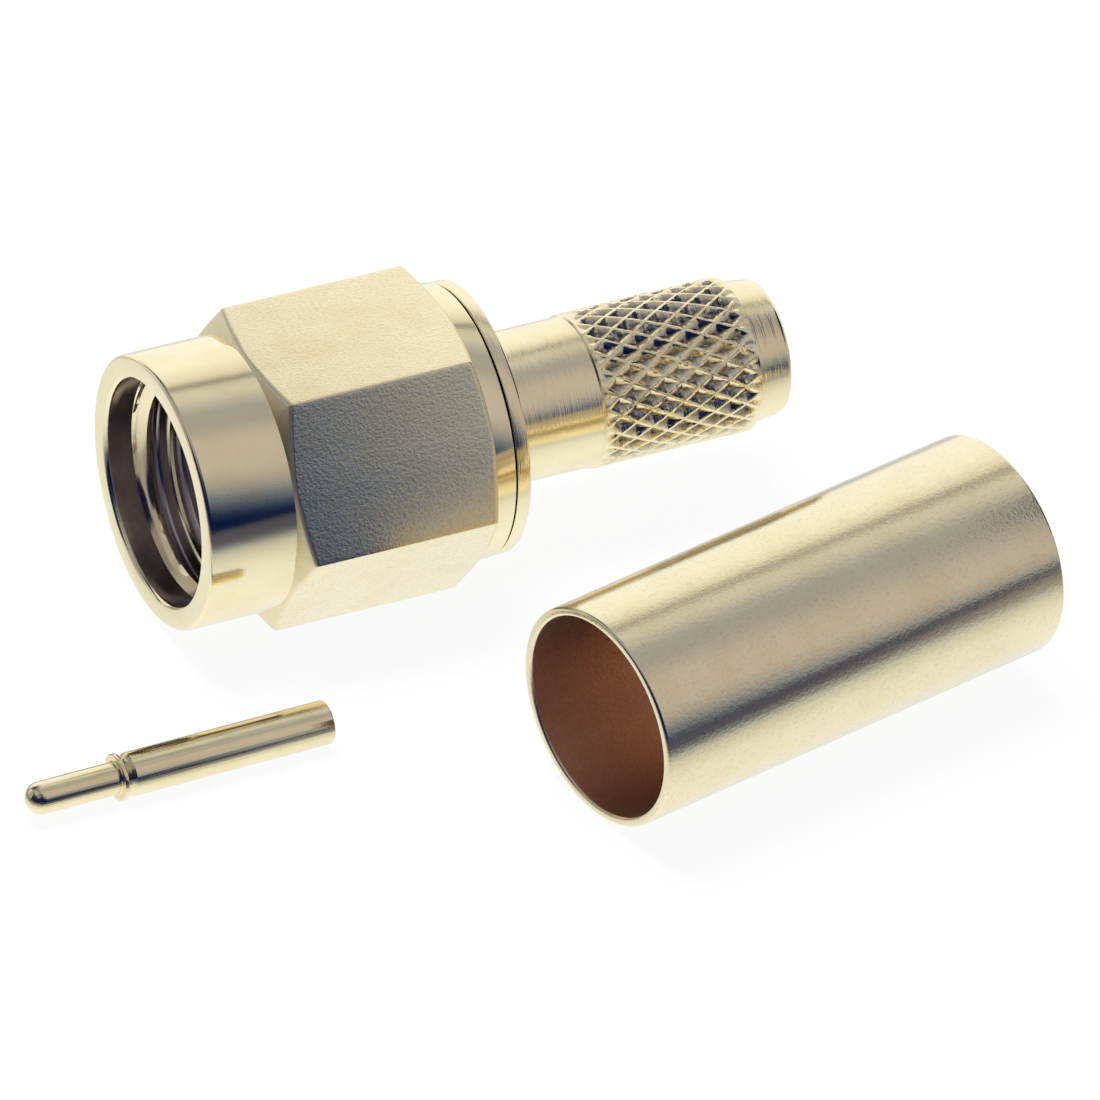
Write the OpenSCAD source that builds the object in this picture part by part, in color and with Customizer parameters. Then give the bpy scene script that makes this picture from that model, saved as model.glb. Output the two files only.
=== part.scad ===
// Straight crimp plug for thin coaxial cable: a turned body with a knurled crimp stem, a hexagonal
// coupling nut that spins on it, and the loose contact and ferrule that go on with the cable.
// The plug lies along X on one flat of its nut, with the mating end towards -X. The origin is on
// the plug's axis, where the nut's thread starts. Millimetres.

/* [Coupling nut] */
// Width across the flats of the hexagon
hex_af = 8.0; // [7.8:0.1:9]
// Length of the nut from its mouth to its rear face
nut_length = 9.3; // [8.8:0.1:11]
// Diameter of the round collar in front of the hexagon
collar_d = 7.84; // [7.4:0.02:7.9]
// Length of the round collar
collar_length = 2.64; // [1.5:0.02:4]
// Length of the cones that turn down the hexagon's corners at both ends
corner_cone_length = 0.28; // [0.1:0.01:0.6]
// Length of the round land behind the hexagon
rear_land_length = 0.58; // [0.3:0.01:1]
// Bevel on the outer edges of the collar and the rear face
nut_bevel = 0.12; // [0.05:0.01:0.2]
// Minor diameter of the 1/4-36 coupling thread
thread_minor_d = 5.7; // [5.6:0.02:5.8]
// Length of the threaded stretch
thread_length = 2.45; // [2:0.05:3.2]
// Diameter of the smooth lead-in in front of the thread
lead_in_d = 6.45; // [6.4:0.01:6.7]
// Depth of the smooth lead-in
lead_in_depth = 0.85; // [0.5:0.05:1.2]
// Bevel round the nut's mouth
mouth_bevel = 0.13; // [0.05:0.01:0.3]

/* [Body] */
// Outer diameter of the outer conductor's mating tube
tube_d = 4.55; // [4.5:0.01:4.6]
// Wall of the mating tube, which holds the insulator
tube_wall = 0.22; // [0.2:0.01:0.26]
// Length of the mating tube from its seat to its tip
tube_length = 2.65; // [2.5:0.05:3.2]
// Gap along the axis between the nut's thread and the tube's tip
tip_gap = 0.1; // [0.05:0.05:0.5]
// Diameter of the sleeve that carries the nut
sleeve_d = 5.5; // [5.3:0.02:5.6]
// Diameter of the rear flange
flange_d = 7.8; // [7:0.05:8]
// Thickness of the rear flange
flange_thickness = 0.42; // [0.3:0.01:0.8]
// Bevel on the flange's edges
flange_bevel = 0.08; // [0.02:0.01:0.12]

/* [Crimp stem] */
// Diameter of the smooth neck behind the flange
neck_d = 4.3; // [4.1:0.02:4.4]
// Length of the smooth neck
neck_length = 3.1; // [2:0.05:5]
// Diameter over the ridges of the knurl
knurl_d = 4.42; // [4.4:0.01:4.6]
// Length of the knurl
knurl_length = 4.8; // [3:0.1:6]
// Diamonds around the stem
knurl_count = 24; // [18:2:26]
// Depth of the diamond pits
knurl_depth = 0.16; // [0.1:0.01:0.2]
// Length of one diamond along the stem
knurl_pitch = 0.96; // [0.8:0.02:1.2]
// Diameter of the plain end where the knurl stops
end_d = 4.1; // [4:0.02:4.3]
// Diameter that the plain end tapers to at the stem's tip
stem_tip_d = 3.88; // [3.7:0.02:4]
// Length of the plain end
end_length = 1.1; // [0.8:0.05:2]
// Rounding of the stem's end
end_round = 0.2; // [0.1:0.02:0.3]
// Bore for the cable's dielectric
cable_bore_d = 3.05; // [2.9:0.05:3.3]

/* [Insulator] */
// Length of the insulator, which is pressed into the body
insulator_length = 5.7; // [4.5:0.1:6]
// Depth of the seat for the contact's collar
collar_seat_depth = 0.35; // [0.25:0.01:0.6]

/* [Retaining ring and gasket] */
// Radial width of the retaining ring
ring_width = 0.58; // [0.5:0.01:0.6]
// Thickness of the retaining ring along the axis
ring_thickness = 0.6; // [0.5:0.05:0.8]
// Opening of the split ring in degrees
ring_gap = 34; // [20:2:60]
// Diameter of the ring groove's floor on the body
groove_d = 4.8; // [4.7:0.02:4.9]
// Distance from the tube's seat to the ring groove
groove_setback = 1.2; // [0.8:0.05:2]
// Outer diameter of the gasket
gasket_d = 5.9; // [5.6:0.05:6]
// Thickness of the gasket
gasket_thickness = 1.0; // [0.8:0.05:1.1]

/* [Centre contact] */
// Diameter of the mating pin
pin_d = 0.92; // [0.9:0.01:0.94]
// Length of the mating pin up to its collar
pin_length = 2.72; // [2.5:0.02:3]
// Diameter of the collar
contact_collar_d = 1.34; // [1.3:0.01:1.5]
// Width of the collar
contact_collar_width = 0.14; // [0.1:0.01:0.3]
// Diameter at the bottom of the V groove behind the collar
contact_groove_d = 1.0; // [0.9:0.02:1.1]
// Width of the V groove behind the collar
contact_groove_width = 0.24; // [0.1:0.02:0.3]
// Diameter of the barrel that takes the cable's inner conductor
barrel_d = 1.24; // [1.2:0.01:1.32]
// Length of the barrel
barrel_length = 6.1; // [5:0.02:7]
// Bore for the cable's inner conductor
wire_bore_d = 0.98; // [0.8:0.02:1]
// Depth of the bore for the inner conductor
wire_bore_depth = 2.8; // [2:0.1:4]

/* [Crimp ferrule] */
// Outer diameter of the ferrule
ferrule_d = 6.44; // [6.2:0.02:6.8]
// Wall of the ferrule
ferrule_wall = 0.28; // [0.2:0.01:0.4]
// Length of the ferrule
ferrule_length = 13.9; // [10:0.1:16]
// Rounding of the ferrule's edges
ferrule_round = 0.09; // [0.04:0.01:0.1]

/* [Loose pieces beside the plug] */
// Ferrule's near end, forward of or behind the thread's start
ferrule_x = 6.96; // [4:0.02:10]
// Ferrule's near end, sideways from the plug's axis
ferrule_y = -12.43; // [-16:0.01:-10]
// Turn of the ferrule on the surface in degrees
ferrule_yaw = 12.6; // [0:0.1:20]
// Contact's tip, forward of the thread's start
contact_x = -7.79; // [-10:0.01:-4]
// Contact's tip, sideways from the plug's axis
contact_y = -7.42; // [-9:0.01:-6.5]
// Turn of the contact on the surface in degrees
contact_yaw = 2.0; // [0:0.1:6]

/* [Hidden] */

$fn = 96;
eps = 0.01;

// clearances between pieces that fit together
running = 0.05;   // radial, nut on body
axial = 0.06;     // between faces that pass each other
slip = 0.02;      // radial, gasket on its tube
entry = 0.03;     // radial, contact in its insulator

// stations along the plug, from the thread's start
mouth_x = -lead_in_depth;
hex_x = mouth_x + collar_length;
nut_end_x = mouth_x + nut_length;
rear_land_x = nut_end_x - rear_land_length;
tip_x = thread_length + tip_gap;
seat_x = tip_x + tube_length;
groove_x = seat_x + groove_setback;
flange_x = nut_end_x + axial;
neck_x = flange_x + flange_thickness;
knurl_x = neck_x + neck_length;
end_x = knurl_x + knurl_length;
stem_end_x = end_x + end_length;
step_x = tip_x + insulator_length;

// the insulator fills the mating tube
insulator_d = tube_d - 2 * tube_wall;

// the nut's inside, which clears the body's pieces
relief_d = gasket_d + 0.6;
nut_bore_d = sleeve_d + 2 * running;
nut_wall_x = seat_x + axial;
ring_inner_d = groove_d + 2 * running;
ring_outer_d = ring_inner_d + 2 * ring_width;
nut_groove_d = ring_outer_d + 4 * running;

// the surface that everything lies on
floor_z = -hex_af / 2;

// the contact along its own axis, from the tip
collar_u = pin_length;
groove_u = collar_u + contact_collar_width;
barrel_u = groove_u + contact_groove_width;
contact_length = barrel_u + barrel_length;
// it lies on the collar's rear edge and the barrel's end
contact_tilt = asin((contact_collar_d - barrel_d) / 2 / (contact_length - groove_u));

// one grid step of the knurl: a diamond is six steps round by six steps long
knurl_steps = 6;
knurl_columns = knurl_count * knurl_steps;
knurl_rows = round(knurl_length / knurl_pitch * knurl_steps);

// turns a profile of [x, radius] points about the X axis
module turned(profile) {
    rotate([90, 0, 90])
        rotate_extrude()
            polygon([for (p = profile) [p[1], p[0]]]);
}

// a plain round bar along X
module bar(d, from, to) {
    translate([from, 0, 0])
        rotate([0, 90, 0])
            cylinder(d = d, h = to - from);
}

// points of a quarter round behind [x, r]
function rounded(x, r, size, steps = 6) =
    [for (i = [0 : steps])
        let (a = 90 * i / steps)
        [x + size * sin(a), r - size * (1 - cos(a))]];

// ---------------------------------------------------------------- coupling nut

module nut_outside() {
    corner_r = hex_af / sqrt(3);
    collar_r = collar_d / 2;
    // the round blank: collar, hexagon stretch between two cones, and rear land
    intersection() {
        turned([[mouth_x, 0],
                [mouth_x, collar_r - nut_bevel],
                [mouth_x + nut_bevel, collar_r],
                [hex_x, collar_r],
                [hex_x + corner_cone_length, corner_r],
                [rear_land_x - corner_cone_length, corner_r],
                [rear_land_x, collar_r],
                [nut_end_x - nut_bevel, collar_r],
                [nut_end_x, collar_r - nut_bevel],
                [nut_end_x, 0]]);
        // flats above and below, corners on the sides
        translate([mouth_x - 1, 0, 0])
            rotate([0, 90, 0])
                rotate(90)
                    cylinder(r = corner_r, h = nut_length + 2, $fn = 6);
    }
}

module nut_inside() {
    turned([[mouth_x - eps, 0],
            [mouth_x - eps, lead_in_d / 2 + mouth_bevel + eps],
            [mouth_x + mouth_bevel, lead_in_d / 2],
            [0, lead_in_d / 2],
            [0, thread_minor_d / 2],
            [thread_length, thread_minor_d / 2],
            [thread_length, relief_d / 2],
            [nut_wall_x, relief_d / 2],
            [nut_wall_x, nut_bore_d / 2],
            [groove_x - axial, nut_bore_d / 2],
            [groove_x - axial, nut_groove_d / 2],
            [groove_x + ring_thickness + 2 * axial, nut_groove_d / 2],
            [groove_x + ring_thickness + 2 * axial, nut_bore_d / 2],
            [nut_end_x + eps, nut_bore_d / 2],
            [nut_end_x + eps, 0]]);
}

module coupling_nut() {
    color("khaki")
        difference() {
            nut_outside();
            nut_inside();
        }
}

// ---------------------------------------------------------------- body and crimp stem

// how deep the knurl is at a grid point: 0 on the ridges that frame each diamond, 1 at its middle
function pit(column, row) =
    let (u = column % knurl_steps / knurl_steps,
         v = row % knurl_steps / knurl_steps,
         across = abs(2 * u - 1),
         along = abs(2 * v - 1),
         // diamonds are centred on the cell's middle and on its four corners
         away = min(across + along, 2 - across - along))
    (1 + cos(180 * away)) / 2;

function knurl_point(column, row) =
    let (a = 360 * column / knurl_columns,
         inside = row > 0 && row < knurl_rows,
         r = knurl_d / 2 - (inside ? knurl_depth * pit(column, row) : 0))
    [knurl_x + knurl_length * row / knurl_rows, r * cos(a), r * sin(a)];

// a closed band with the diamonds on its outside, whose ends are sunk in the neck and the plain end
module knurl() {
    n = knurl_columns;
    core = min(neck_d, end_d) / 2 - knurl_depth;
    overlap = 0.15;
    ring = function (x, r) [for (c = [0 : n - 1]) [x, r * cos(360 * c / n), r * sin(360 * c / n)]];
    points = concat(
        ring(knurl_x - overlap, core),
        [for (row = [0 : knurl_rows], c = [0 : n - 1]) knurl_point(c, row)],
        ring(end_x + overlap, core));
    last = knurl_rows + 2;
    sides = [for (row = [0 : last - 1], c = [0 : n - 1])
        let (a = row * n + c,
             b = row * n + (c + 1) % n,
             falling = (c + row) % 2 == 0)
        each falling ? [[a, b + n, b], [a, a + n, b + n]] : [[a, a + n, b], [b, a + n, b + n]]];
    front = [for (c = [0 : n - 1]) c];
    back = [for (c = [n - 1 : -1 : 0]) last * n + c];
    polyhedron(points, concat(sides, [front, back]));
}

module body_outside() {
    turned([[tip_x, 0],
            [tip_x, tube_d / 2 - flange_bevel],
            [tip_x + flange_bevel, tube_d / 2],
            [seat_x, tube_d / 2],
            [seat_x, sleeve_d / 2],
            [groove_x, sleeve_d / 2],
            [groove_x, groove_d / 2],
            [groove_x + ring_thickness + axial, groove_d / 2],
            [groove_x + ring_thickness + axial, sleeve_d / 2],
            [flange_x, sleeve_d / 2],
            [flange_x, flange_d / 2 - flange_bevel],
            [flange_x + flange_bevel, flange_d / 2],
            [neck_x - flange_bevel, flange_d / 2],
            [neck_x, flange_d / 2 - flange_bevel],
            [neck_x, neck_d / 2],
            [knurl_x, neck_d / 2],
            [knurl_x, 0]]);
    turned(concat(
        [[end_x, 0],
         [end_x, end_d / 2]],
        rounded(stem_end_x - end_round, stem_tip_d / 2, end_round),
        [[stem_end_x, 0]]));
    knurl();
}

module connector_body() {
    color("wheat")
        difference() {
            body_outside();
            bar(insulator_d, tip_x - 1, step_x);
            bar(cable_bore_d, step_x - eps, stem_end_x + 1);
        }
}

// ---------------------------------------------------------------- pieces inside the plug

module front_insulator() {
    color("white")
        difference() {
            bar(insulator_d, tip_x, step_x);
            bar(barrel_d + 2 * entry, tip_x - 1, step_x + 1);
            bar(contact_collar_d + 2 * entry, tip_x - 1, tip_x + collar_seat_depth);
        }
}

module retaining_ring() {
    from = groove_x + axial / 2;
    color("silver")
        difference() {
            bar(ring_outer_d, from, from + ring_thickness);
            bar(ring_inner_d, from - 1, from + ring_thickness + 1);
            // the split, as a wedge that opens upwards
            translate([from - 1, 0, 0])
                rotate([90, 0, 90])
                    linear_extrude(ring_thickness + 2)
                        polygon([[0, 0],
                                 [ring_outer_d * sin(ring_gap / 2), ring_outer_d * cos(ring_gap / 2)],
                                 [-ring_outer_d * sin(ring_gap / 2), ring_outer_d * cos(ring_gap / 2)]]);
        }
}

module gasket() {
    color("firebrick")
        difference() {
            bar(gasket_d, seat_x - gasket_thickness, seat_x);
            bar(tube_d + 2 * slip, seat_x - gasket_thickness - 1, seat_x + 1);
        }
}

// ---------------------------------------------------------------- loose pieces

module contact_shape() {
    difference() {
        turned(concat(
            [for (i = [0 : 8])
                let (a = 90 * i / 8)
                [pin_d / 2 * (1 - cos(a)), pin_d / 2 * sin(a)]],
            [[collar_u, pin_d / 2],
             [collar_u, contact_collar_d / 2],
             [groove_u, contact_collar_d / 2],
             [(groove_u + barrel_u) / 2, contact_groove_d / 2],
             [barrel_u, barrel_d / 2],
             [contact_length, barrel_d / 2],
             [contact_length, 0]]));
        bar(wire_bore_d, contact_length - wire_bore_depth, contact_length + 1);
    }
}

// lies on the surface, with its barrel's end down
module centre_contact() {
    color("gold")
        translate([contact_x, contact_y, floor_z])
            rotate(contact_yaw)
                translate([groove_u, 0, contact_collar_d / 2])
                    rotate([0, contact_tilt, 0])
                        translate([-groove_u, 0, 0])
                            contact_shape();
}

module crimp_ferrule() {
    outer_r = ferrule_d / 2;
    inner_r = outer_r - ferrule_wall;
    color("tan")
        translate([ferrule_x, ferrule_y, floor_z + outer_r])
            rotate(ferrule_yaw)
                turned([[ferrule_round, outer_r],
                        [0, outer_r - ferrule_round],
                        [0, inner_r + ferrule_round],
                        [ferrule_round, inner_r],
                        [ferrule_length - ferrule_round, inner_r],
                        [ferrule_length, inner_r + ferrule_round],
                        [ferrule_length, outer_r - ferrule_round],
                        [ferrule_length - ferrule_round, outer_r]]);
}

coupling_nut();
connector_body();
front_insulator();
retaining_ring();
gasket();
centre_contact();
crimp_ferrule();
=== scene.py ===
"""The looks of the coaxial plug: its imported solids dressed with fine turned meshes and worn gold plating.

The frame is the CAD one: the plug's axis is X with the mating end towards -X, the origin is on the axis
where the coupling nut's thread starts, and everything lies on the surface at z = FLOOR.
"""
import math
import random

import bpy
from mathutils import Matrix, Vector

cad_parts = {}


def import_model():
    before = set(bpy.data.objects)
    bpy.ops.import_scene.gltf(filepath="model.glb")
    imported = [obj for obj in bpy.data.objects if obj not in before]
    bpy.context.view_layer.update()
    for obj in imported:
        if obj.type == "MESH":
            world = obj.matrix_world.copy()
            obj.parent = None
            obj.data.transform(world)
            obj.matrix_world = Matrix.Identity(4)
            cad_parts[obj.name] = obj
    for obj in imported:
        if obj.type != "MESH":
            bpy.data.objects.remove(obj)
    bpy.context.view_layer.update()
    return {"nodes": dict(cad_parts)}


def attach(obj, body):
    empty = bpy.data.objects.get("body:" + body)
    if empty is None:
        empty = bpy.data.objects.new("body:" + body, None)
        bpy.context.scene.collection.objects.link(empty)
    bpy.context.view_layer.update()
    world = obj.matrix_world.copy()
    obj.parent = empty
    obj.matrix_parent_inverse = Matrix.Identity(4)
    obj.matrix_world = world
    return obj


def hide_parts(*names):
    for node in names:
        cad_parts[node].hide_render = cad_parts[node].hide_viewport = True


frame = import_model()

MM = 0.001
MICRON = 1e-6

# ------------------------------------------------------------------ sizes and places

# In millimetres and degrees. They are the solids' own, but for worn edges, small rounds and the thread.

# coupling nut
HEX_AF = 8.0              # across the flats
HEX_CORNER = 0.06         # round of the hexagon's corners
HEX_X = 1.79              # where the corners start to rise from the collar
CORNER_CONE = 0.28        # length over which a corner is turned down
EDGE_WEAR = 0.11          # softening where that cone cuts a flat
COLLAR_R = 3.92
MOUTH_X = -0.85
MOUTH_ROUND = 0.12        # outside of the mouth
MOUTH_BEVEL = 0.13        # inside of the mouth, by radius
MOUTH_BEVEL_DEPTH = 0.156
LEAD_IN_R = 3.225
REAR_LAND_X = 7.87
NUT_END_X = 8.45
NUT_WALL_X = 5.26
NUT_BORE_R = 2.8
NUT_BORE_BEVEL = 0.1
RELIEF_R = 3.25
GROOVE_X = 6.4
GROOVE_R = 3.13
RING_THICKNESS = 0.6
AXIAL = 0.06              # clearance along the axis

# 1/4-36 thread inside the nut
PITCH = 25.4 / 36
THREAD_MAJOR_R = 3.19
THREAD_MINOR_R = 2.85
THREAD_LENGTH = 2.45
CREST_HALF = 0.07         # half the width of a crest's flat
LEAD_IN_SLOPE = 1.9
RUNOUT_SLOPE = 2.0
SHADE_FROM_X = 0.34              # past here the thread's roots get painted shade ...
SHADE_DEPTH = 0.12          # ... in full this far below the crests

# connector body
TIP_X = 2.55
TIP_ROUND = 0.08
TUBE_R = 2.275
SEAT_X = 5.2
SLEEVE_R = 2.75
BODY_GROOVE_R = 2.4
FLANGE_X = 8.51
FLANGE_R = 3.9
FLANGE_BEVEL = 0.08
FLANGE_EDGE = 0.03        # broken edge of the flange's front, and of the nut's rear beside it
NECK_X = 8.93
NECK_R = 2.15
NECK_FILLET = 0.18
INSULATOR_R = 2.055
STEP_X = 8.25
CABLE_BORE_R = 1.525
CABLE_BORE_BEVEL = 0.05

# knurl and plain end of the body
KNURL_X = 12.03
KNURL_START = 0.05        # length of the rise from the neck
KNURL_R = 2.21
KNURL_COUNT = 24
KNURL_PITCH = 0.96
KNURL_DEPTH = 0.16
KNURL_TORN = 0.014        # roughness that the rolling tears up
KNURL_RIDGE = 0.87        # the flat ridge starts this far from a lozenge's middle, and its side ...
KNURL_SIDE = 0.80         # ... falls over this much, where 1 is the way from the middle to the ridge's line
PER_CELL = 16             # points across one cell of the knurl, each way
FADE = 6                  # rows over which the knurl fades in and out
END_X = 16.83
END_STEP = 0.06           # the knurl falls over this length, and runs into the plain end over as much again
END_R = 2.05
STEM_TIP_R = 1.94
STEM_END_X = 17.93
END_ROUND = 0.2

# crimp ferrule, which lies beside the plug
FERRULE_R = 3.22
FERRULE_WALL = 0.28
FERRULE_LENGTH = 13.9
FERRULE_ROUND = 0.09
FERRULE_AT = (6.96, -12.43)
FERRULE_YAW = 12.6

# centre contact, which lies in front: U is measured from its tip
PIN_R = 0.46
COLLAR_U = 2.72
CONTACT_COLLAR_R = 0.67
COLLAR_ROUND = 0.03
GROOVE_U = 2.86
CONTACT_GROOVE_R = 0.5
BARREL_U = 3.1
BARREL_R = 0.62
BARREL_BEVEL = (0.03, 0.02)   # along the axis and by radius
BARREL_ROUND = 0.04
CONTACT_LENGTH = 9.2
WIRE_BORE_R = 0.49
WIRE_BORE_DEPTH = 2.8
WIRE_BORE_BEVEL = 0.03
DRILL_POINT = 0.28
ON_AXIS = 0.004           # radius of the outline's ends, which all but close there
CONTACT_AT = (-7.79, -7.42)
CONTACT_YAW = 2.0

FLOOR = -HEX_AF / 2
HAIR = 0.01               # a hair's breadth, for rows that all but meet


# ------------------------------------------------------------------ meshes

def make_object(name, verts, faces, sharp=28, marks=None):
    """A smooth mesh from points in millimetres, with its hard edges kept and its marks, if it has any."""
    mesh = bpy.data.meshes.new(name)
    mesh.from_pydata([(x * MM, y * MM, z * MM) for x, y, z in verts], [], faces)
    mesh.validate()
    for key, numbers in (marks or {}).items():
        mesh.attributes.new(key, "FLOAT", "POINT").data.foreach_set("value", numbers)
    mesh.shade_smooth()
    mesh.set_sharp_from_angle(angle=math.radians(sharp))
    obj = bpy.data.objects.new(name, mesh)
    bpy.context.scene.collection.objects.link(obj)
    return obj


def quads(rows, columns, closed):
    """Quads between rows of points about the axis, facing away from it where x grows from row to row."""
    faces = []
    for i in range(rows if closed else rows - 1):
        a, b = i * columns, (i + 1) % rows * columns
        for c in range(columns):
            d = (c + 1) % columns
            faces.append((a + c, a + d, b + d, b + c))
    return faces


class Skin:
    """A piece's points about the X axis, in rows that share their angles, with each point's marks by name.

    Marks run from 0 to 1, for the materials: flat is on the milled flats, cut on the worn edges beside
    them, dim where the nut's inside is painted darker for shade, and pit is the depth in the knurl.
    """

    def __init__(self, angles, *names):
        self.angles = angles
        self.verts = []
        self.marks = {name: [] for name in names}

    def point(self, x, r, angle, **marks):
        self.verts.append((x, r * math.cos(angle), r * math.sin(angle)))
        for name, numbers in self.marks.items():
            numbers.append(marks.get(name, 0.0))

    def row(self, places, **marks):
        """Adds a row that has its own (x, r) at each angle."""
        for (x, r), angle in zip(places, self.angles):
            self.point(x, r, angle, **marks)

    def turn(self, outline, **marks):
        """Adds a round row for each (x, r) of the outline."""
        for place in outline:
            self.row([place] * len(self.angles), **marks)

    def rows(self):
        return len(self.verts) // len(self.angles)

    def quads(self, closed):
        return quads(self.rows(), len(self.angles), closed)


def even_angles(columns):
    return [2 * math.pi * c / columns for c in range(columns)]


def turned(name, outline, columns, sharp):
    """A closed outline of (x, r) points turned about X."""
    piece = Skin(even_angles(columns))
    piece.turn(outline)
    return make_object(name, piece.verts, piece.quads(True), sharp)


def edge(x, r, size, front, outside=True, steps=4):
    """A rounded edge where a cylinder of radius r meets a face at x, in the order the outline runs."""
    middle_x = x + size if front else x - size
    middle_r = r - size if outside else r + size
    start = {(True, True): 180, (False, True): 90, (False, False): 0, (True, False): -90}[(front, outside)]
    angles = [math.radians(start - 90 * i / steps) for i in range(steps + 1)]
    return [(middle_x + size * math.cos(a), middle_r + size * math.sin(a)) for a in angles]


# ------------------------------------------------------------------ the nut

def hexagon(inradius, corner, per_flat=36, per_corner=6):
    """The hexagon's outline in (y, z), with flats above and below and rounded corners."""
    reach = (inradius - corner) / math.cos(math.radians(30))   # from the axis to a corner round's middle

    def on_round(tip, facing):
        return (reach * math.cos(tip) + corner * math.cos(facing),
                reach * math.sin(tip) + corner * math.sin(facing))

    points = []
    for k in range(6):
        tip, mid, following = (math.radians(60 * k + a) for a in (0, 30, 60))
        points += [on_round(tip, tip + math.radians(-30 + 60 * i / per_corner)) for i in range(per_corner)]
        start, stop = on_round(tip, mid), on_round(following, mid)
        for i in range(per_flat):
            t = i / per_flat
            points.append((start[0] + (stop[0] - start[0]) * t, start[1] + (stop[1] - start[1]) * t))
    return points


def cone_edge(start, way, t, radii):
    """A row on the worn edge where a corner cone cuts the flats: t is 0 on the cone and 1 on the flat."""
    slope = (HEX_AF / math.sqrt(3) - COLLAR_R) / CORNER_CONE
    steep = slope / math.hypot(slope, 1)
    places = []
    for r in radii:
        size = min(EDGE_WEAR, (r - COLLAR_R) * 0.8)   # less where the cone is low
        low, ahead = size * (1 - t) ** 2 * steep, size * t ** 2
        places.append((start + way * ((r - COLLAR_R - low) / slope + ahead), r - low))
    return places


def thread_r(turns, x):
    """Radius of the thread's face: a flat crest at the minor diameter, flanks at 60 degrees, a flat root."""
    from_crest = abs(turns % 1.0 - 0.5) * PITCH
    flank = max(0.0, from_crest - CREST_HALF) / math.tan(math.radians(30))
    depth = min(THREAD_MAJOR_R - THREAD_MINOR_R, flank)
    lead_in = LEAD_IN_R - LEAD_IN_SLOPE * x
    runout = RELIEF_R - RUNOUT_SLOPE * (THREAD_LENGTH - x)
    return min(max(THREAD_MINOR_R + depth, lead_in, runout), RELIEF_R)


def cut_thread(nut, per_pitch=14):
    """Adds the thread's points to the nut, column by column at its angles, and returns the thread's faces."""
    base, columns = len(nut.verts), len(nut.angles)
    steps = range(-per_pitch, math.ceil(THREAD_LENGTH / PITCH * per_pitch) + 1)
    count = len(steps)
    for angle in nut.angles:
        turned_by = (angle - nut.angles[0]) % (2 * math.pi) / (2 * math.pi)
        for step in steps:
            x = PITCH * (step / per_pitch + turned_by)
            held = min(max(x, 0.0), THREAD_LENGTH)
            r = thread_r(step / per_pitch, held)
            # painted shade: further in, the thread's roots are painted darker the deeper they lie
            dim = min(max((r - THREAD_MINOR_R) / SHADE_DEPTH, 0.0), 1.0) if x > SHADE_FROM_X else 0.0
            nut.point(held, r, angle, dim=dim)
    faces = []
    for c in range(columns):
        # the last column meets the first one a pitch further on
        following, further = (c + 1, 0) if c < columns - 1 else (0, per_pitch)
        for k in range(count - 1 - further):
            here, there = base + c * count + k, base + following * count + k + further
            # points held at the thread's ends fall together: the face keeps one of each
            corners = {}
            for i in (here, here + 1, there + 1, there):
                corners.setdefault(nut.verts[i], i)
            if len(corners) > 2:
                faces.append(tuple(corners.values()))
    return faces


def nut_piece():
    """The nut: lead-in, collar, hexagon with its corners turned down, rear land, bore and thread."""
    flats = hexagon(HEX_AF / 2, HEX_CORNER)
    radii = [math.hypot(y, z) for y, z in flats]
    nut = Skin([math.atan2(z, y) for y, z in flats], "flat", "dim", "cut")
    # the lead-in, from the thread out to the mouth, with painted shade all along it
    nut.turn([(0.0, LEAD_IN_R), (MOUTH_X + MOUTH_BEVEL_DEPTH, LEAD_IN_R)], dim=1.0)
    nut.turn([(MOUTH_X + MOUTH_BEVEL_DEPTH * (1 - t) ** 2, LEAD_IN_R + MOUTH_BEVEL * t ** 1.6)
              for t in (0.25, 0.5, 0.75, 1.0)])
    # the outside, from the mouth to the rear
    nut.turn(edge(MOUTH_X, COLLAR_R, MOUTH_ROUND, True, steps=6))
    nut.turn([(HEX_X - 2 * HAIR, COLLAR_R)])
    nut.turn([(HEX_X - HAIR, COLLAR_R)], cut=1.0)
    on_cone = (0.0, 0.25, 0.5, 0.75)
    for t in on_cone:
        nut.row(cone_edge(HEX_X, 1, t, radii), cut=1.0)
    nut.row(cone_edge(HEX_X, 1, 1.0, radii), flat=1.0)
    nut.row(cone_edge(REAR_LAND_X, -1, 1.0, radii), flat=1.0)
    for t in reversed(on_cone):
        nut.row(cone_edge(REAR_LAND_X, -1, t, radii), cut=1.0)
    nut.turn([(REAR_LAND_X + HAIR, COLLAR_R)], cut=1.0)
    nut.turn([(REAR_LAND_X + 2 * HAIR, COLLAR_R)])
    nut.turn(edge(NUT_END_X, COLLAR_R, FLANGE_EDGE, False))
    # the bore, from the rear to the thread's far end
    groove_end = GROOVE_X + RING_THICKNESS + 2 * AXIAL
    nut.turn([(NUT_END_X, NUT_BORE_R + NUT_BORE_BEVEL), (NUT_END_X - NUT_BORE_BEVEL, NUT_BORE_R),
              (groove_end, NUT_BORE_R), (groove_end, GROOVE_R), (GROOVE_X - AXIAL, GROOVE_R),
              (GROOVE_X - AXIAL, NUT_BORE_R), (NUT_WALL_X, NUT_BORE_R), (NUT_WALL_X, RELIEF_R),
              (THREAD_LENGTH, RELIEF_R)])
    faces = nut.quads(False)
    faces += cut_thread(nut)
    return make_object("coupling_nut_turned", nut.verts, faces, 24, nut.marks)


# ------------------------------------------------------------------ the body

def pit(u, v):
    """Depth of the knurl, 0 to 1, at a place in its cell: flat ridges frame lozenges with sloping sides."""
    across, along = abs(2 * u - 1), abs(2 * v - 1)
    from_middle = min(across + along, 2 - across - along)
    return min(max((KNURL_RIDGE - from_middle) / KNURL_SIDE, 0.0), 1.0)


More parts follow.
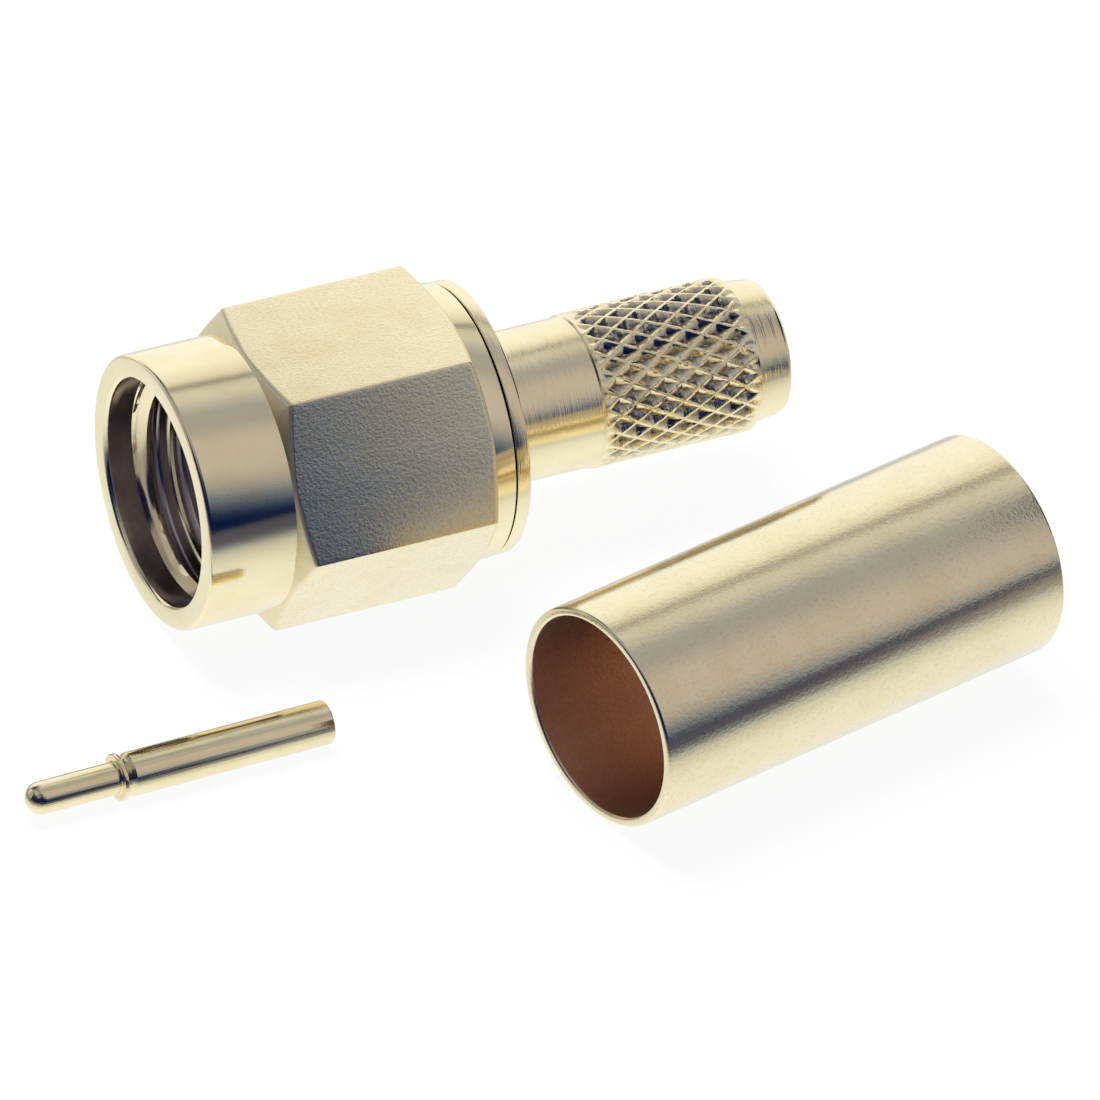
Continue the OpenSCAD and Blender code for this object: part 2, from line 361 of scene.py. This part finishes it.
def roll_knurl(body):
    """Adds the knurl's rows to the body."""
    torn = random.Random(36)
    length = END_X - KNURL_X
    steps = round(length / KNURL_PITCH * PER_CELL)
    for i in range(1, steps):
        fade = min(1.0, i / FADE, (steps - i) / FADE)
        for c, angle in enumerate(body.angles):
            deep = pit((c % PER_CELL) / PER_CELL, (i % PER_CELL) / PER_CELL) * fade
            r = KNURL_R - KNURL_DEPTH * deep - KNURL_TORN * torn.random() * fade
            body.point(KNURL_X + length * i / steps, r, angle, pit=deep)


def split_on_ridge(quad, u, v):
    """A quad's two triangles, split along the ridges, which run along the grid's diagonals in a cell."""
    a, d, e, b = quad
    rising = (u < PER_CELL / 2) == (v < PER_CELL / 2)
    return [(a, d, b), (d, e, b)] if rising else [(a, d, e), (a, e, b)]


def body_piece():
    """The body: mating tube, sleeve, flange, neck, knurl, plain end and the bores, in one closed skin."""
    columns = KNURL_COUNT * PER_CELL
    body = Skin(even_angles(columns), "pit")
    groove_end = GROOVE_X + RING_THICKNESS + AXIAL
    body.turn([(TIP_X, INSULATOR_R)])
    body.turn(edge(TIP_X, TUBE_R, TIP_ROUND, True))
    body.turn([(SEAT_X, TUBE_R), (SEAT_X, SLEEVE_R), (GROOVE_X, SLEEVE_R), (GROOVE_X, BODY_GROOVE_R),
               (groove_end, BODY_GROOVE_R), (groove_end, SLEEVE_R), (FLANGE_X, SLEEVE_R)])
    body.turn(edge(FLANGE_X, FLANGE_R, FLANGE_EDGE, True))
    body.turn(edge(NECK_X, FLANGE_R, FLANGE_BEVEL, False))
    body.turn(edge(NECK_X, NECK_R, NECK_FILLET, True, False, steps=6)[::-1])
    body.turn([(KNURL_X - KNURL_START, NECK_R), (KNURL_X, KNURL_R - HAIR)])
    knurl_from = body.rows() - 1
    roll_knurl(body)
    body.turn([(END_X, KNURL_R - HAIR)])
    knurl_to = body.rows() - 1
    body.turn([(END_X + END_STEP, END_R + HAIR), (END_X + 2 * END_STEP, END_R)])
    body.turn(edge(STEM_END_X, STEM_TIP_R, END_ROUND, False, steps=7))
    body.turn([(STEM_END_X, CABLE_BORE_R + CABLE_BORE_BEVEL), (STEM_END_X - CABLE_BORE_BEVEL, CABLE_BORE_R),
               (STEP_X, CABLE_BORE_R), (STEP_X, INSULATOR_R)])
    faces = []
    for i, quad in enumerate(body.quads(True)):
        row, column = divmod(i, columns)
        if knurl_from <= row < knurl_to:
            faces += split_on_ridge(quad, column % PER_CELL, (row - knurl_from) % PER_CELL)
        else:
            faces.append(quad)
    return make_object("connector_body_turned", body.verts, faces, 34, body.marks)


# ------------------------------------------------------------------ the loose pieces

def ferrule_piece():
    """The crimp ferrule, a drawn tube with rounded ends, on its side."""
    inner = FERRULE_R - FERRULE_WALL
    outline = edge(0, FERRULE_R, FERRULE_ROUND, True, steps=6)
    outline += edge(FERRULE_LENGTH, FERRULE_R, FERRULE_ROUND, False, steps=6)
    outline += edge(FERRULE_LENGTH, inner, FERRULE_ROUND, False, False, steps=6)
    outline += edge(0, inner, FERRULE_ROUND, True, False, steps=6)
    piece = turned("crimp_ferrule_drawn", outline, 256, 40)
    piece.matrix_world = (Matrix.Translation(Vector((*FERRULE_AT, FLOOR + FERRULE_R)) * MM)
                          @ Matrix.Rotation(math.radians(FERRULE_YAW), 4, "Z"))
    return piece


def contact_piece():
    """The centre contact, which lies on its collar and its barrel's end."""
    tip = [math.radians(a) for a in range(6, 91, 7)]
    outline = [(0.0, ON_AXIS)]
    outline += [(PIN_R * (1 - math.cos(a)), PIN_R * math.sin(a)) for a in tip]
    outline += [(COLLAR_U - COLLAR_ROUND, PIN_R), (COLLAR_U, PIN_R + COLLAR_ROUND)]
    outline += edge(COLLAR_U, CONTACT_COLLAR_R, COLLAR_ROUND, True, steps=3)
    outline += edge(GROOVE_U, CONTACT_COLLAR_R, COLLAR_ROUND, False, steps=3)
    outline += [((GROOVE_U + BARREL_U) / 2, CONTACT_GROOVE_R), (BARREL_U, BARREL_R - BARREL_BEVEL[1]),
                (BARREL_U + BARREL_BEVEL[0], BARREL_R)]
    outline += edge(CONTACT_LENGTH, BARREL_R, BARREL_ROUND, False, steps=3)
    bore_end = CONTACT_LENGTH - WIRE_BORE_DEPTH
    outline += [(CONTACT_LENGTH, WIRE_BORE_R + WIRE_BORE_BEVEL),
                (CONTACT_LENGTH - WIRE_BORE_BEVEL, WIRE_BORE_R),
                (bore_end, WIRE_BORE_R), (bore_end - DRILL_POINT, ON_AXIS)]
    piece = turned("centre_contact_turned", outline, 128, 32)
    tilt = math.asin((CONTACT_COLLAR_R - BARREL_R) / (CONTACT_LENGTH - GROOVE_U))
    piece.matrix_world = (Matrix.Translation(Vector((*CONTACT_AT, FLOOR)) * MM)
                          @ Matrix.Rotation(math.radians(CONTACT_YAW), 4, "Z")
                          @ Matrix.Translation(Vector((GROOVE_U, 0, CONTACT_COLLAR_R)) * MM)
                          @ Matrix.Rotation(tilt, 4, "Y")
                          @ Matrix.Translation(Vector((-GROOVE_U, 0, 0)) * MM))
    return piece


# ------------------------------------------------------------------ nodes

class Nodes:
    """A tree's nodes, made and linked by short calls."""

    def __init__(self, tree):
        self.tree = tree

    def add(self, kind, **settings):
        node = self.tree.nodes.new(kind)
        for key, value in settings.items():
            setattr(node, key, value)
        return node

    def link(self, source, target):
        """Links an output to an input, or sets the input to a plain number, colour or vector."""
        if isinstance(source, (int, float, tuple)):
            target.default_value = source
        else:
            self.tree.links.new(source, target)

    def math(self, operation, *values):
        node = self.add("ShaderNodeMath", operation=operation)
        for value, target in zip(values, node.inputs):
            self.link(value, target)
        return node.outputs[0]

    def span(self, value, low, high, to_low=0.0, to_high=1.0):
        """A smooth step between two values of a value."""
        node = self.add("ShaderNodeMapRange", interpolation_type="SMOOTHSTEP")
        self.link(value, node.inputs["Value"])
        for key, number in (("From Min", low), ("From Max", high), ("To Min", to_low), ("To Max", to_high)):
            node.inputs[key].default_value = number
        return node.outputs["Result"]

    def mix(self, factor, a, b, blend="MIX"):
        node = self.add("ShaderNodeMix", data_type="RGBA", blend_type=blend)
        self.link(factor, node.inputs["Factor"])
        self.link(a, node.inputs["A"])
        self.link(b, node.inputs["B"])
        return node.outputs["Result"]

    def ramp(self, value, stops):
        """Colours along a value, from stops of (value, (r, g, b)) between -1 and 1."""
        node = self.add("ShaderNodeValToRGB")
        self.link(self.math("MULTIPLY_ADD", value, 0.5, 0.5), node.inputs["Fac"])
        elements = node.color_ramp.elements
        while len(elements) > 1:
            elements.remove(elements[-1])
        for i, (at, colour) in enumerate(stops):
            element = elements[0] if i == 0 else elements.new(at / 2 + 0.5)
            element.position = at / 2 + 0.5
            element.color = (*colour, 1)
        return node.outputs["Color"]

    def along(self, vector, direction):
        """The vector's part along a direction."""
        node = self.add("ShaderNodeVectorMath", operation="DOT_PRODUCT")
        self.link(vector, node.inputs[0])
        self.link(direction, node.inputs[1])
        return node.outputs["Value"]

    def seen(self, light):
        """1 for the camera, and for what metal and clear pieces show."""
        direct = self.math("MAXIMUM", light.outputs["Is Camera Ray"], light.outputs["Is Glossy Ray"])
        return self.math("MAXIMUM", direct, light.outputs["Is Transmission Ray"])


class Material(Nodes):
    """A material's nodes and its object coordinates."""

    def __init__(self, name):
        self.material = bpy.data.materials.new(name)
        self.material.use_nodes = True
        super().__init__(self.material.node_tree)
        self.shader = self.tree.nodes["Principled BSDF"]
        self.coords = self.add("ShaderNodeTexCoord").outputs["Object"]

    def noise(self, waves, detail, roughness):
        """Noise with that many waves per metre along each axis."""
        mapping = self.add("ShaderNodeMapping")
        self.link(self.coords, mapping.inputs["Vector"])
        self.link(waves, mapping.inputs["Scale"])
        noise = self.add("ShaderNodeTexNoise")
        self.link(mapping.outputs["Vector"], noise.inputs["Vector"])
        for key, number in (("Scale", 1.0), ("Detail", detail), ("Roughness", roughness)):
            noise.inputs[key].default_value = number
        return noise.outputs["Fac"]

    def marked(self, key):
        """The mesh's own marks by that name."""
        return self.add("ShaderNodeAttribute", attribute_name=key).outputs["Fac"]

    def bore(self, radius):
        """1 inside a bore of that radius, in millimetres, about the piece's own axis."""
        parts = self.add("ShaderNodeSeparateXYZ")
        self.link(self.coords, parts.inputs[0])
        y, z = parts.outputs["Y"], parts.outputs["Z"]
        squared = self.math("ADD", self.math("MULTIPLY", y, y), self.math("MULTIPLY", z, z))
        return self.span(self.math("SQRT", squared), (radius - 0.02) * MM, (radius + 0.05) * MM, 1.0, 0.0)

    def dress(self, colour, roughness, height, distance):
        """Links the surface to the shader; distance is the length of one unit of height."""
        bump = self.add("ShaderNodeBump")
        self.link(height, bump.inputs["Height"])
        bump.inputs["Distance"].default_value = distance
        self.link(colour, self.shader.inputs["Base Color"])
        self.link(roughness, self.shader.inputs["Roughness"])
        self.link(bump.outputs["Normal"], self.shader.inputs["Normal"])

    def stage_output(self):
        """The output of a stage material, which has no use for the usual shader."""
        self.tree.nodes.remove(self.shader)
        self.material.cycles.emission_sampling = "NONE"
        return self.tree.nodes["Material Output"].inputs["Surface"]


# ------------------------------------------------------------------ metals

class Plating(Material):
    """Thin gold on turned brass, blotchy in colour and gloss, with a fine grain; finishes are added to it.

    Every finish's strength is its height in micrometres.
    """

    def __init__(self, name, light, deep, rough, grain):
        super().__init__(name)
        self.rough = rough
        blotch = self.noise((700, 700, 700), 4.0, 0.6)
        self.fine = self.noise((21000, 21000, 21000), 2.0, 0.6)
        uneven = self.math("ADD", self.math("MULTIPLY", blotch, 0.6), self.math("MULTIPLY", self.fine, 0.4))
        self.colour = self.mix(self.span(blotch, 0.35, 0.68), light, deep)
        self.roughness = self.span(uneven, 0.3, 0.7, rough * 0.8, rough * 1.25)
        self.height = self.math("MULTIPLY", self.fine, grain)
        self.tint(self.span(self.fine, 0.25, 0.45, min(grain / 20, 0.4), 0.0), (0.55, 0.47, 0.38, 1))

    def tint(self, where, colour):
        self.colour = self.mix(where, self.colour, colour)

    def roughen(self, where, amount):
        self.roughness = self.math("ADD", self.roughness, self.math("MULTIPLY", where, amount))

    def raise_by(self, pattern, height):
        self.height = self.math("ADD", self.height, self.math("MULTIPLY", pattern, height))

    def mottle(self, height):
        """Small brown hollows."""
        mottled = self.noise((8500, 9500, 9500), 3.0, 0.7)
        self.raise_by(mottled, height)
        self.tint(self.span(mottled, 0.32, 0.5, 0.30, 0.0), (0.60, 0.50, 0.42, 1))

    def lathe(self, height):
        """Fine and broad rings that the lathe leaves round the axis."""
        rings = self.noise((22000, 500, 500), 2.0, 0.65)
        broad = self.noise((5200, 160, 160), 2.0, 0.5)
        self.raise_by(self.math("ADD", rings, broad), height)

    def draw(self, height):
        """Streaks along the axis."""
        self.raise_by(self.noise((260, 14000, 14000), 2.0, 0.5), height)

    def mill(self, height):
        """Milled flats with grey specks, and duller worn edges round them."""
        flat = self.marked("flat")
        milled = self.noise((10500, 12500, 12500), 2.5, 0.6)
        self.raise_by(self.math("MULTIPLY", milled, flat), height)
        self.roughen(flat, 0.06)
        self.roughen(self.marked("cut"), 0.34)
        specks = self.span(milled, 0.34, 0.54, 0.24, 0.0)
        self.tint(self.math("MULTIPLY", specks, flat), (0.48, 0.45, 0.45, 1))

    def paint_shade_in_pits(self):
        """Painted shade down in the knurl: a darker colour the deeper a point lies in a pit."""
        self.tint(self.span(self.marked("pit"), 0.10, 0.75, 0.0, 0.85), (0.34, 0.30, 0.29, 1))

    def line(self, where, colour, rough):
        """Another colour and roughness where marked: painted shade inside the nut, a coppery colour in the
        ferrule's bore.
        """
        lighter = tuple(min(1.0, part * 1.25) for part in colour)
        self.tint(where, self.mix(self.span(self.fine, 0.30, 0.70), colour, lighter))
        self.roughen(where, rough - self.rough)

    def finished(self):
        self.dress(self.colour, self.roughness, self.height, MICRON)
        self.shader.inputs["Metallic"].default_value = 1.0
        return self.material


LIGHT_GOLD = (0.97, 0.85, 0.57, 1)
DEEP_GOLD = (0.94, 0.80, 0.51, 1)


def nut_gold():
    plating = Plating("plated_nut_satin", LIGHT_GOLD, DEEP_GOLD, rough=0.09, grain=1.2)
    plating.lathe(0.8)
    plating.mill(6.8)
    # painted shade inside the nut: a darker colour, and rougher, deep in the thread and along the lead-in
    plating.line(plating.marked("dim"), (0.44, 0.38, 0.40, 1), 0.20)
    return plating.finished()


def body_gold():
    plating = Plating("plated_body_lathed", LIGHT_GOLD, DEEP_GOLD, rough=0.11, grain=2.0)
    plating.lathe(8.0)
    # painted shade down in the knurl's pits
    plating.paint_shade_in_pits()
    return plating.finished()


def ferrule_gold():
    plating = Plating("plated_ferrule_drawn", (0.95, 0.83, 0.56, 1), (0.92, 0.79, 0.51, 1),
                      rough=0.085, grain=1.2)
    plating.mottle(5.0)
    plating.draw(1.0)
    plating.line(plating.bore(FERRULE_R - FERRULE_WALL), (0.76, 0.53, 0.43, 1), 0.42)
    return plating.finished()


def contact_gold():
    plating = Plating("plated_contact_bright", (0.97, 0.85, 0.55, 1), (0.94, 0.80, 0.49, 1),
                      rough=0.08, grain=0.8)
    plating.draw(8.0)
    return plating.finished()


def bronze():
    plating = Plating("spring_bronze", (0.80, 0.48, 0.26, 1), (0.72, 0.42, 0.22, 1), rough=0.24, grain=1.0)
    plating.lathe(0.8)
    return plating.finished()


# ------------------------------------------------------------------ plastic and rubber

def waxy(name, light, shade, rough, sheen, waves, height, subsurface=0.0):
    """A turned or moulded plastic or rubber: slight colour variation, soft roughness and a fine surface."""
    n = Material(name)
    cloud = n.noise((900, 900, 900), 4.0, 0.55)
    fine = n.noise(waves, 3.0, 0.6)
    n.dress(n.mix(n.span(cloud, 0.3, 0.7), light, shade), n.span(fine, 0.3, 0.7, rough * 0.85, rough * 1.15),
            fine, height * MICRON)
    n.shader.inputs["Specular IOR Level"].default_value = sheen
    n.shader.inputs["Subsurface Weight"].default_value = subsurface
    n.shader.inputs["Subsurface Scale"].default_value = 0.6 * MM
    return n.material


def ptfe():
    return waxy("insulator_waxy", (0.86, 0.86, 0.82, 1), (0.80, 0.80, 0.76, 1), rough=0.45, sheen=0.4,
                waves=(9000, 900, 900), height=4, subsurface=0.15)


def rubber():
    return waxy("silicone_matt", (0.36, 0.045, 0.02, 1), (0.30, 0.035, 0.018, 1), rough=0.62, sheen=0.35,
                waves=(7000, 7000, 7000), height=5)


# ------------------------------------------------------------------ pieces on their bodies

for piece, node, body, slot, material in (
        (nut_piece(), "coupling_nut", "nut", "plated_nut", nut_gold()),
        (body_piece(), "connector_body", "plug", "plated_body", body_gold()),
        (ferrule_piece(), "crimp_ferrule", "plug", "plated_ferrule", ferrule_gold()),
        (contact_piece(), "centre_contact", "plug", "plated_contact", contact_gold())):
    piece.data.materials.append(material)
    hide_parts(node)
    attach(piece, body)

for node, material in (("front_insulator", ptfe()), ("gasket", rubber()), ("retaining_ring", bronze())):
    for slot in frame["nodes"][node].material_slots:
        slot.material = material

# ------------------------------------------------------------------ stage, light and camera

CENTRE = Vector((8.43, -6.18, 0.0)) * MM      # what the camera and the lamp point at
BACK = (0.423, 0.906, 0.0)                    # along the table, towards the lit wall behind the pieces
WHITE = (1, 1, 1, 1)
NO_LIMIT = (2, 2, 2, 1)
NAVY = (0.004, 0.011, 0.07)                   # the unlit room
SHEET_HALF = 400.0                            # half the sheet's width, in millimetres
SHEET_GLOW = 0.93                             # the rest of what it shows is lit, and takes the shadow
TENT_R = 320.0
TENT_SUNK = 0.5                               # its rim lies this far under the sheet

# light that arrives from a direction, by how far it points to the lit wall: a dull roof, then the dark
# frame at the roof's edge, then the wall
ROOF_AND_WALL = [(-0.45, (0.54, 0.51, 0.54)), (-0.20, (0.55, 0.51, 0.53)), (-0.08, (0.46, 0.45, 0.48)),
                 (0.02, (0.39, 0.40, 0.45)), (0.20, (0.38, 0.41, 0.45)), (0.30, (0.50, 0.52, 0.55)),
                 (0.42, (0.66, 0.67, 0.68)), (0.54, (0.66, 0.66, 0.66)), (0.59, (0.33, 0.33, 0.35)),
                 (0.62, (0.33, 0.33, 0.35)), (0.66, (0.74, 0.73, 0.70)), (0.78, (0.93, 0.93, 0.92)),
                 (0.87, (1.02, 1.04, 1.04)), (1.0, (1.02, 1.06, 1.08))]
# the most that the room lets through of it, by height above the table
ABOVE_ROOM = [(0.02, NAVY), (0.10, (0.02, 0.04, 0.12)), (0.18, (0.07, 0.10, 0.20)),
              (0.29, (0.17, 0.205, 0.30)), (0.38, (0.30, 0.32, 0.39)), (0.48, (0.43, 0.43, 0.47)),
              (0.60, (0.54, 0.51, 0.53)), (0.80, (1.0, 1.0, 1.0))]
# the same at the far left, where the room reaches higher
LEFT_SIDE = [(0.0, NAVY), (0.35, (0.01, 0.02, 0.07)), (0.50, (0.04, 0.05, 0.10)), (0.62, (0.20, 0.20, 0.25)),
             (0.75, (0.42, 0.42, 0.44)), (0.90, (0.60, 0.60, 0.60))]
# painted reflection that the sheet shows to metal, by the steepness it is met at: the dark room at a glance
SHEET_PAINTED_REFLECTION = [(0.0, NAVY), (0.19, (0.006, 0.014, 0.08)), (0.24, (0.04, 0.06, 0.14)),
               (0.29, (0.19, 0.23, 0.30)), (0.34, (0.42, 0.47, 0.50)), (0.42, (0.59, 0.63, 0.64)),
               (0.50, (0.70, 0.73, 0.73)), (0.62, (0.82, 0.86, 0.86)), (0.80, (0.91, 0.95, 0.96)),
               (0.90, (0.98, 1.02, 1.03)), (1.0, (1.02, 1.05, 1.07))]


def paper():
    """The white sheet: it looks white to the camera, and still takes the pieces' shadow; to metal it shows a
    painted reflection of the room.
    """
    corners = [(x * SHEET_HALF, y * SHEET_HALF, FLOOR) for x, y in ((-1, -1), (1, -1), (1, 1), (-1, 1))]
    sheet = make_object("paper_sheet", corners, [(0, 1, 2, 3)])
    n = Material("paper_white")
    output = n.stage_output()
    fibre = n.noise((2500, 2500, 2500), 4.0, 0.6)
    diffuse = n.add("ShaderNodeBsdfDiffuse")
    n.link(n.mix(fibre, (0.86, 0.86, 0.86, 1), (0.90, 0.90, 0.90, 1)), diffuse.inputs["Color"])
    # painted reflection in the sheet's glow, for metal: the dark room at a glance, lighter towards the lit
    # wall, and white far behind the pieces
    glance = n.add("ShaderNodeLayerWeight").outputs["Facing"]
    painted_reflection = n.ramp(n.math("SUBTRACT", 1.0, glance), SHEET_PAINTED_REFLECTION)
    back = n.along(n.coords, BACK)
    painted_reflection = n.mix(n.span(back, -20 * MM, 0.0), painted_reflection, (0.30, 0.28, 0.27, 1), "LIGHTEN")
    painted_reflection = n.mix(n.span(back, 12 * MM, 30 * MM), painted_reflection, (1.0, 1.02, 1.02, 1))
    light = n.add("ShaderNodeLightPath")
    glow = n.add("ShaderNodeEmission")
    n.link(n.mix(light.outputs["Is Camera Ray"], painted_reflection, WHITE), glow.inputs["Color"])
    both = n.add("ShaderNodeMixShader")
    n.link(n.math("MULTIPLY", n.seen(light), SHEET_GLOW), both.inputs["Fac"])
    n.link(diffuse.outputs[0], both.inputs[1])
    n.link(glow.outputs[0], both.inputs[2])
    n.link(both.outputs[0], output)
    sheet.data.materials.append(n.material)


def dome(rings=24, columns=48):
    """A half sphere over the table, facing inwards."""
    verts = []
    for i in range(rings + 1):
        elevation = math.radians(90 * i / rings)
        radius = TENT_R * math.cos(elevation)
        for angle in even_angles(columns):
            verts.append((radius * math.cos(angle), radius * math.sin(angle),
                          FLOOR - TENT_SUNK + TENT_R * math.sin(elevation)))
    return verts, [face[::-1] for face in quads(rings + 1, columns, False)]


def tent():
    """A light tent round the pieces: a lit wall behind them, a dull roof, a front open to a dark room."""
    verts, faces = dome()
    cloth = make_object("light_tent", verts, faces, 180)
    n = Material("tent_cloth")
    output = n.stage_output()
    direction = n.add("ShaderNodeVectorMath", operation="NORMALIZE")
    n.link(n.coords, direction.inputs[0])
    direction = direction.outputs[0]
    back = n.along(direction, BACK)
    # the room shows higher up to the left of the camera than to the right
    tilted = n.math("SUBTRACT", n.along(direction, (0.92, 0.0, 1.0)), 0.337)
    far_left = n.span(n.along(direction, (-1.0, 0.0, 0.0)), 0.25, 0.60)
    up = n.along(direction, (0.0, 0.0, 1.0))
    room = n.mix(far_left, n.ramp(tilted, ABOVE_ROOM), n.ramp(up, LEFT_SIDE))
    # it hides nothing of the wall, nor of a lit patch at the back left
    patch = n.span(n.along(direction, (-0.80, 0.56, 0.20)), 0.88, 0.97)
    room = n.mix(n.math("MAXIMUM", n.span(back, 0.60, 0.72), patch), room, NO_LIMIT)
    # the tent's opening to the right, dark
    opening = n.span(n.along(direction, (0.91, -0.03, 0.41)), 0.905, 0.95)
    room = n.mix(opening, room, (0.02, 0.03, 0.08, 1))
    glow = n.add("ShaderNodeEmission")
    n.link(n.mix(1.0, n.ramp(back, ROOF_AND_WALL), room, "DARKEN"), glow.inputs["Color"])
    n.link(glow.outputs[0], output)
    cloth.data.materials.append(n.material)
    cloth.visible_camera = False
    cloth.visible_shadow = False


def world():
    """White behind everything, for the camera and for metal and clear pieces alike."""
    studio = bpy.data.worlds.new("studio")
    bpy.context.scene.world = studio
    studio.use_nodes = True
    n = Nodes(studio.node_tree)
    background = n.tree.nodes["Background"]
    seen = n.seen(n.add("ShaderNodeLightPath"))
    n.link(n.mix(seen, (0.7, 0.7, 0.7, 1), WHITE), background.inputs["Color"])
    background.inputs["Strength"].default_value = 1.0


def soft_lamp(name, at, size, power):
    """A round lamp that points at the pieces, with its place and size in millimetres."""
    data = bpy.data.lights.new(name, "AREA")
    data.shape = "DISK"
    data.size = size * MM
    data.energy = power
    lamp = bpy.data.objects.new(name, data)
    lamp.location = Vector(at) * MM
    lamp.rotation_mode = "QUATERNION"
    lamp.rotation_quaternion = (CENTRE - lamp.location).to_track_quat("-Z", "Y")
    lamp.visible_glossy = False
    bpy.context.scene.collection.objects.link(lamp)


def camera(azimuth, elevation, roll, distance, field):
    """A long lens, with angles in degrees and the distance and the frame's width there in millimetres."""
    azimuth, elevation, roll = (math.radians(a) for a in (azimuth, elevation, roll))
    back = Vector((math.sin(azimuth) * math.cos(elevation), -math.cos(azimuth) * math.cos(elevation),
                   math.sin(elevation)))
    side = Vector((math.cos(azimuth), math.sin(azimuth), 0))
    up = back.cross(side)
    right = side * math.cos(roll) + up * math.sin(roll)
    top = up * math.cos(roll) - side * math.sin(roll)
    data = bpy.data.cameras.new("photo_camera")
    data.sensor_width = 36.0
    data.lens = data.sensor_width * distance / field
    data.clip_start, data.clip_end = 0.01, 10.0
    cam = bpy.data.objects.new("photo_camera", data)
    cam.matrix_world = (Matrix.Translation(CENTRE + back * distance * MM)
                        @ Matrix((right, top, back)).transposed().to_4x4())
    bpy.context.scene.collection.objects.link(cam)
    bpy.context.scene.camera = cam


paper()
tent()
world()
soft_lamp("key_lamp", (-20, 60, 230), 130, 0.75)
camera(azimuth=-27.9, elevation=38.45, roll=4.5, distance=600, field=30.345)

bpy.context.scene.view_settings.view_transform = "Standard"
